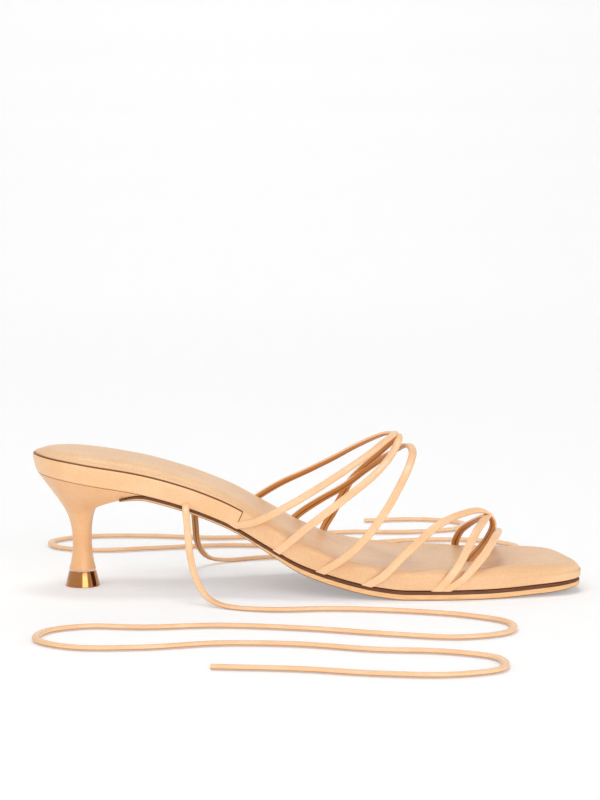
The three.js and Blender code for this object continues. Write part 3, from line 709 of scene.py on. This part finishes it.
# %% The straps' routes
VAMP_HEIGHT, TOE_HEIGHT = 66, 31
ROUTES = [
    ("instep_strap_back", VAMP_HEIGHT, 0.37, 0.375, [
        (0.409, -0.372, 0.507), (0.471, -0.395, 0.627), (0.546, -0.329, 0.788),
        (0.615, -0.184, 0.942), (0.642, -0.105, 1.01), (0.66, -0.02, 1.048),
        (0.66, 0.035, 1.05), (0.642, 0.105, 1.032), (0.595, 0.211, 0.939),
        (0.548, 0.276, 0.834), (0.501, 0.329, 0.739), (0.453, 0.371, 0.649),
        (0.414, 0.387, 0.56)]),
    ("instep_strap_middle", VAMP_HEIGHT, 0.448, 0.522, [
        (0.466, -0.398, 0.363), (0.491, -0.434, 0.449), (0.557, -0.434, 0.641),
        (0.614, -0.329, 0.791), (0.638, -0.25, 0.866), (0.657, -0.145, 0.942),
        (0.668, -0.053, 1.012), (0.668, 0.013, 1.037), (0.66, 0.092, 0.99),
        (0.637, 0.184, 0.894), (0.61, 0.283, 0.784), (0.586, 0.355, 0.679),
        (0.566, 0.421, 0.538), (0.549, 0.458, 0.408), (0.536, 0.466, 0.326)]),
    ("instep_strap_front", VAMP_HEIGHT, 0.527, 0.45, [
        (0.567, -0.493, 0.285), (0.602, -0.487, 0.402), (0.643, -0.421, 0.598),
        (0.676, -0.289, 0.793), (0.689, -0.184, 0.883), (0.694, -0.079, 0.937),
        (0.689, 0.026, 0.963), (0.68, 0.092, 0.953), (0.664, 0.158, 0.909),
        (0.608, 0.309, 0.74), (0.573, 0.355, 0.632), (0.525, 0.408, 0.518),
        (0.49, 0.434, 0.427)]),
    ("toe_strap_back", TOE_HEIGHT, 0.734, 0.78, [
        (0.754, -0.512, 0.325), (0.771, -0.495, 0.503), (0.791, -0.421, 0.754),
        (0.809, -0.309, 0.955), (0.824, -0.197, 1.056), (0.83, -0.118, 1.076),
        (0.826, -0.039, 1.038), (0.817, 0.079, 0.949), (0.804, 0.211, 0.826),
        (0.791, 0.316, 0.688), (0.785, 0.401, 0.555), (0.782, 0.447, 0.437)]),
    ("toe_strap_front", TOE_HEIGHT, 0.748, 0.841, [
        (0.778, -0.5, 0.303), (0.795, -0.478, 0.435), (0.815, -0.428, 0.597),
        (0.832, -0.342, 0.744), (0.843, -0.25, 0.84), (0.849, -0.145, 0.851),
        (0.851, 0.053, 0.8), (0.851, 0.21, 0.7), (0.847, 0.335, 0.59),
        (0.845, 0.405, 0.5), (0.843, 0.436, 0.37)]),
    ("toe_post_strap", TOE_HEIGHT, 0.61, None, [
        (0.636, -0.52, 0.36), (0.677, -0.493, 0.671), (0.701, -0.454, 0.827),
        (0.727, -0.395, 0.99), (0.755, -0.316, 1.095), (0.791, -0.224, 1.165),
        (0.812, -0.171, 1.172), (0.828, -0.132, 1.128), (0.839, -0.105, 1.015),
        (0.841, -0.092, 0.907), (0.832, -0.092, 0.743), (0.819, -0.099, 0.6),
        (0.804, -0.105, 0.469), (0.79, -0.112, 0.33)]),
]
STRAP_WIDTH, STRAP_THICK, STRAP_STEPS = 3.6, 1.7, 90
FOOT_CORE = 0.2
SPARE = 3


def anchor(at, side):
    x = BACK + at * LENGTH
    edge = outer_edge(x) if side > 0 else inner_edge(x)
    return Vector((x, edge - side * FIT, underside(x) + 2 * FIT))


def strap_points(height, start, end, rows):
    points = [anchor(start, -1)]
    points += [Vector((BACK + at * LENGTH, across * BALL, up * height)) for at, across, up in rows]
    if end is not None:
        points.append(anchor(end, 1))
        points.append(points[-1] + (points[-1] - points[-2]).normalized() * SPARE)
    return [points[0] + (points[0] - points[1]).normalized() * SPARE, *points]


def faces_of(core, turns):
    """A strap's outer face looks away from the foot; the post strap turns as it dives."""

    def away(place, part):
        face = Vector((0, place.y, place.z - core)).normalized()
        dive = min(1, max(0, (part - 0.66) / 0.12)) if turns else 0
        return face.lerp(Vector((0.75, 0.65, 0.1)), dive * dive * (3 - 2 * dive))

    return away


def trim(strap, at):
    """Cuts the spare end off along the outsole's top, where the strap goes in."""
    x = BACK + at * LENGTH
    slope = (underside(x + 1) - underside(x - 1)) / 2
    nothing_selected()
    strap.select_set(True)
    bpy.context.view_layer.objects.active = strap
    bpy.ops.object.mode_set(mode="EDIT")
    bpy.ops.mesh.select_all(action="SELECT")
    bpy.ops.mesh.bisect(
        plane_co=Vector((x, 0, underside(x) + 0.1)) * MM, plane_no=Vector((-slope, 0, 1)).normalized(),
        use_fill=True, clear_inner=True,
    )
    bpy.ops.object.mode_set(mode="OBJECT")


straps = []
for name, height, start, end, rows in ROUTES:
    places, length = walk([p * MM for p in strap_points(height, start, end, rows)], STRAP_STEPS)
    strap = straight_blank(name, STRAP_WIDTH * MM, STRAP_THICK * MM, STRAP_STEPS)
    lay_along(strap, places, faces_of(height * FOOT_CORE * MM, end is None))
    for at in (start, end):
        if at is not None:
            trim(strap, at)
    rounded(strap, 0, 50)
    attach(strap, "root")
    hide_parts("vamp_straps" if height == VAMP_HEIGHT else "toe_straps")
    straps.append(strap)
    print(name, "is", round(length * 1000), "mm long")

# %% [markdown]
# Materials are procedural. One small class wraps a socket: sums on it add Math nodes, and
# its one method adds any other node, so that a finish reads like a formula.

# %% Shader maths as Python
def from_picture(r, g, b):
    """A colour as seen on a screen, 0 to 255, as the linear colour a shader wants."""
    linear = [((c / 255 + 0.055) / 1.055) ** 2.4 if c > 10 else c / 3294 for c in (r, g, b)]
    return (*linear, 1)


class Value:
    """An output socket of a material's tree."""

    def __init__(self, tree, socket=None):
        self.tree = tree
        self.socket = socket

    def node(self, kind, inputs=None, output=0, stops=None, **settings):
        """Adds a node: its settings first, then the values or links of its sockets."""
        made = self.tree.nodes.new("ShaderNode" + kind)
        for name, setting in settings.items():
            setattr(made, name, setting)
        if stops:
            ramp = made.color_ramp.elements
            while len(ramp) < len(stops):
                ramp.new(0.5)
            for element, (place, colour) in zip(ramp, stops):
                element.position = place
                element.color = colour
        for name, given in (inputs or {}).items():
            if isinstance(given, Value):
                self.tree.links.new(given.socket, made.inputs[name])
            else:
                made.inputs[name].default_value = given
        return Value(self.tree, made.outputs[output])

    def math(self, operation, *others, **settings):
        inputs = dict(enumerate([self, *others]))
        return self.node("Math", inputs, operation=operation, **settings)

    def __add__(self, other):
        return self.math("ADD", other)

    def __mul__(self, other):
        return self.math("MULTIPLY", other)

    def __sub__(self, other):
        return self.math("SUBTRACT", other)

    def __rsub__(self, other):
        return self.node("Math", {0: other, 1: self}, operation="SUBTRACT")

    def __pow__(self, other):
        return self.math("POWER", other)

    __radd__ = __add__
    __rmul__ = __mul__

    def smooth(self, low, high):
        """0 below low, 1 above high, soft between."""
        return self.node(
            "MapRange", {0: self, 1: low, 2: high, 3: 0.0, 4: 1.0}, interpolation_type="SMOOTHSTEP"
        )

    def blend(self, a, b):
        """Colour a where this is 0 and colour b where it is 1."""
        return self.node("Mix", {0: self, 6: a, 7: b}, output=2, data_type="RGBA")


class Finish:
    """A material with one Principled shader, and the values its formula starts from."""

    def __init__(self, name, **constants):
        self.material = bpy.data.materials.new(name)
        self.material.use_nodes = True
        self.tree = self.material.node_tree
        self.shader = self.tree.nodes["Principled BSDF"]
        for socket, value in constants.items():
            self.shader.inputs[socket.replace("_", " ")].default_value = value
        self.start = Value(self.tree)
        self.place = self.start.node("TexCoord", output="Object")

    def attribute(self, name):
        return self.start.node("Attribute", output="Fac", attribute_name=name)

    def noise(self, size, detail=2, rough=0.5):
        """Soft noise whose lumps are about size millimetres wide."""
        inputs = {"Vector": self.place, "Scale": 1 / (size * MM), "Detail": detail, "Roughness": rough}
        return self.start.node("TexNoise", inputs)

    def cells(self, size, feature="F1"):
        inputs = {"Vector": self.place, "Scale": 1 / (size * MM)}
        return self.start.node("TexVoronoi", inputs, feature=feature)

    def set(self, socket, value):
        self.tree.links.new(value.socket, self.shader.inputs[socket])

    def bump(self, height, depth):
        """Turns a height of 0 to 1 into a relief that is depth millimetres deep."""
        inputs = {"Height": height, "Strength": 1.0, "Distance": depth * MM}
        self.set("Normal", self.start.node("Bump", inputs))


# %% [markdown]
# The upper leather is smooth, light and nearly matt, with pores too fine to count. Large
# soft noise varies its tone, and small cells give it grain.

# %% Finish: the upper leather
def upper_leather(name, tone, deep, pale):
    leather = Finish(name, Roughness=0.4, IOR=1.45, Coat_Roughness=0.25)
    patch = leather.noise(14).smooth(0.35, 0.65)
    fine = leather.noise(0.9, 4, 0.6).smooth(0.3, 0.7)
    base = patch.blend(from_picture(*tone), from_picture(*pale))
    base = (fine * 0.22).blend(base, from_picture(*deep))
    pore = leather.cells(0.45)
    grain = pore * 0.6 + leather.noise(0.3, 3) * 0.5
    leather.bump(grain, 0.022)
    leather.set("Roughness", 0.36 + fine * 0.1)
    leather.set("Coat Weight", 0.22 + patch * 0.12)
    return leather, base


cover_leather, cover_colour = upper_leather(
    "nude_leather", (243, 194, 145), (222, 160, 102), (247, 202, 157)
)
# Level 1 gives the dark brown edge: edge paint, and painted shade for the gap between cover and
# footbed.
edge = cover_leather.attribute("level").smooth(0.55, 0.9)
cover_leather.set("Base Color", edge.blend(cover_colour, from_picture(120, 66, 26)))
seat_cover.data.materials.clear()
seat_cover.data.materials.append(cover_leather.material)
# The heel is the same leather as the cover; its copy takes darker, deeper colours as painted shade for
# the heel's curved, shadowed surface.
shaded_heel_leather, shaded_heel_colour = upper_leather(
    "shaded_heel_leather", (236, 181, 128), (216, 150, 92), (240, 189, 139)
)
shaded_heel_leather.set("Base Color", shaded_heel_colour)
heel.data.materials.clear()
heel.data.materials.append(shaded_heel_leather.material)
print(cover_leather.material.name, "has", len(cover_leather.tree.nodes), "nodes")

# %% [markdown]
# A strap is folded round a core and closed on its inner face, where the flesh side and the glued seam
# show. The inner face is painted a darker brown, partly the flesh side's own tone and partly painted
# shade for the face that looks away from the lights. The attributes that the blank kept tell both
# places.

# %% Finish: the straps and ties
strap_leather, strap_colour = upper_leather(
    "strap_leather", (244, 197, 150), (224, 163, 106), (249, 206, 162)
)
inside = strap_leather.attribute("inside")
across = strap_leather.attribute("across")
# The inner face's darker brown is partly the flesh side's tone and partly painted shade.
shaded_inner_face = inside.smooth(0.62, 0.8)
seam = (1 - across.math("ABSOLUTE").smooth(0.08 * MM, 0.34 * MM)) * inside.smooth(0.9, 0.97)
flesh_and_painted_shade = strap_leather.noise(0.8, 5, 0.7).blend(from_picture(186, 120, 56), from_picture(212, 148, 82))
strap_base = shaded_inner_face.blend(strap_colour, flesh_and_painted_shade)
strap_leather.set("Base Color", seam.blend(strap_base, from_picture(96, 50, 20)))
for piece in (*straps, inner_tie, outer_tie):
    piece.data.materials.clear()
    piece.data.materials.append(strap_leather.material)
print(strap_leather.material.name, "has", len(strap_leather.tree.nodes), "nodes")

# %% [markdown]
# The footbed's leather is a shade deeper and duller, with pores and a faint mottle. The toe post goes
# into the footbed through a cut that has no depth here: a dark oval of painted shade stands in for the
# shadow inside it.

# %% Finish: the footbed
SLOT = (174.4, -8.3)
insole = Finish("footbed_leather", IOR=1.45, Coat_Roughness=0.3)
mottle = insole.noise(22, 3).smooth(0.35, 0.65)
fine = insole.noise(1.1, 5, 0.6).smooth(0.3, 0.7)
insole_base = mottle.blend(from_picture(242, 200, 155), from_picture(236, 189, 142))
insole_base = (fine * 0.25).blend(insole_base, from_picture(212, 156, 106))
parts = insole.start.node("SeparateXYZ", {"Vector": insole.place})
across = Value(insole.tree, parts.socket.node.outputs["Y"])
off_x, off_y = (parts - SLOT[0] * MM) * (1 / (2.3 * MM)), (across - SLOT[1] * MM) * (1 / (1.5 * MM))
# A dark oval of painted shade stands in for the shadow in the toe post's cut.
painted_slot_shade = 1 - ((off_x * off_x + off_y * off_y) ** 0.5).smooth(0.75, 1.15)
insole.set("Base Color", painted_slot_shade.blend(insole_base, from_picture(70, 34, 12)))
insole.set("Roughness", 0.4 + fine * 0.12)
insole.set("Coat Weight", 0.08 + mottle * 0.08)
insole.bump(insole.cells(0.5) * 0.6 + insole.noise(0.35, 3) * 0.5, 0.025)
footbed.data.materials.clear()
footbed.data.materials.append(insole.material)
print(insole.material.name, "has", len(insole.tree.nodes), "nodes")

# %% [markdown]
# The outsole's edge is natural leather with a painted upper line, which takes up more of the thin edge
# at the waist. The ground side and the foot of the chamfer are dark brown: painted shade for the
# sole's underside and its contact shadow. Layers of fibre show as fine streaks along the edge.

# %% Finish: the outsole
sole_leather = Finish("sole_edge_leather", IOR=1.45)
level = sole_leather.attribute("level")
streak = sole_leather.start.node("Mapping", {"Vector": sole_leather.place, "Scale": (0.05, 0.05, 1)})
inputs = {"Vector": streak, "Scale": 2600.0, "Detail": 3.0}
fibre = sole_leather.start.node("TexNoise", inputs).smooth(0.35, 0.65)
natural = fibre.blend(from_picture(232, 178, 122), from_picture(244, 196, 144))
painted = fibre.blend(from_picture(88, 44, 14), from_picture(118, 68, 30))
# The ground side and the foot of the chamfer are dark brown: painted shade for the underside and the
# contact shadow along the sole's bottom edge.
painted_underside_shade = level.smooth(0.1, 0.19)
edge = painted_underside_shade.blend(from_picture(112, 68, 38), natural)
ahead = sole_leather.start.node("SeparateXYZ", {"Vector": sole_leather.place})
paint_line = level + 0.3 * (1 - ahead.smooth(70 * MM, 105 * MM))
sole_leather.set("Base Color", paint_line.smooth(0.62, 0.8).blend(edge, painted))
sole_leather.set("Roughness", 0.5 + fibre * 0.12)
sole_leather.bump(fibre * 0.5 + sole_leather.noise(0.5, 4) * 0.5, 0.03)
outsole.data.materials.clear()
outsole.data.materials.append(sole_leather.material)
print(sole_leather.material.name, "has", len(sole_leather.tree.nodes), "nodes")

# %% [markdown]
# The tip is polished, rose-coloured metal. Turning marks run round it, too fine to count,
# and small scuffs make parts of it duller near the floor.

# %% Finish: the metal tip
metal = Finish("rose_metal", Metallic=1.0, Coat_Weight=1.0, Coat_Roughness=0.06)
turned = metal.start.node("Mapping", {"Vector": metal.place, "Scale": (0.02, 0.02, 1)})
inputs = {"Vector": turned, "Scale": 5200.0, "Detail": 2.0}
rings = metal.start.node("TexNoise", inputs).smooth(0.3, 0.7)
scuff = metal.noise(1.6, 5, 0.7).smooth(0.55, 0.75)
metal.set("Base Color", (rings * 0.35).blend(from_picture(188, 120, 54), from_picture(154, 92, 38)))
metal.set("Roughness", 0.12 + scuff * 0.16)
metal.bump(rings, 0.006)
heel_tip.data.materials.clear()
heel_tip.data.materials.append(metal.material)
print(metal.material.name, "has", len(metal.tree.nodes), "nodes")

# %% [markdown]
# The studio is a pale tent: a floor that curves up into a wall on every side, so that the
# sandal has a light background from all around. Wide soft lights hang inside: one above,
# one to the left, a fill from the front and a wash for the back of the tent.

# %% The studio
nothing_selected()
bpy.ops.mesh.primitive_plane_add(size=6, location=(0, 0, 0))
sweep = bpy.context.object
sweep.name = "studio_sweep"
bpy.ops.object.mode_set(mode="EDIT")
bpy.ops.mesh.select_mode(type="EDGE")
bpy.ops.mesh.select_all(action="DESELECT")
mesh = bmesh.from_edit_mesh(sweep.data)
for edge in mesh.edges:
    edge.select_set(True)
bpy.ops.mesh.extrude_edges_move(TRANSFORM_OT_translate={"value": (0, 0, 3)})
bpy.ops.mesh.select_all(action="DESELECT")
mesh = bmesh.from_edit_mesh(sweep.data)
for edge in mesh.edges:
    edge.select_set(all(v.co.z < 0.1 for v in edge.verts))
bpy.ops.mesh.bevel(offset=1.2, segments=16)
bpy.ops.object.mode_set(mode="OBJECT")
rounded(sweep, 0, 60)
paper = Finish(
    "pale_paper", Roughness=0.9, Base_Color=from_picture(222, 222, 222),
    Emission_Color=(1, 1, 1, 1), Emission_Strength=0.3,
)
sweep.data.materials.append(paper.material)


def soft_light(name, place, size, power, at=LOOK_AT):
    """A square area light that looks at the sandal, or at another place."""
    nothing_selected()
    bpy.ops.object.light_add(type="AREA", location=place)
    light = bpy.context.object
    light.name = name
    light.data.size = size
    light.data.energy = power
    light.rotation_euler = (Vector(at) - Vector(place)).to_track_quat("-Z", "Y").to_euler()


soft_light("main_softbox", (-0.7, -0.7, 1.6), 0.9, 7)
soft_light("front_fill", (0.8, -2.0, 0.45), 1.4, 21)
soft_light("top_fill", (0.1, 0.35, 2.2), 0.6, 11)
soft_light("back_wash", (0, 2.1, 1.5), 1.6, 7, at=(0, 2.5, 0))
world = bpy.data.worlds.new("pale_room")
bpy.context.scene.world = world
world.use_nodes = True
world.node_tree.nodes["Background"].inputs["Color"].default_value = (1, 1, 1, 1)
world.node_tree.nodes["Background"].inputs["Strength"].default_value = 0.22
print("studio ready")
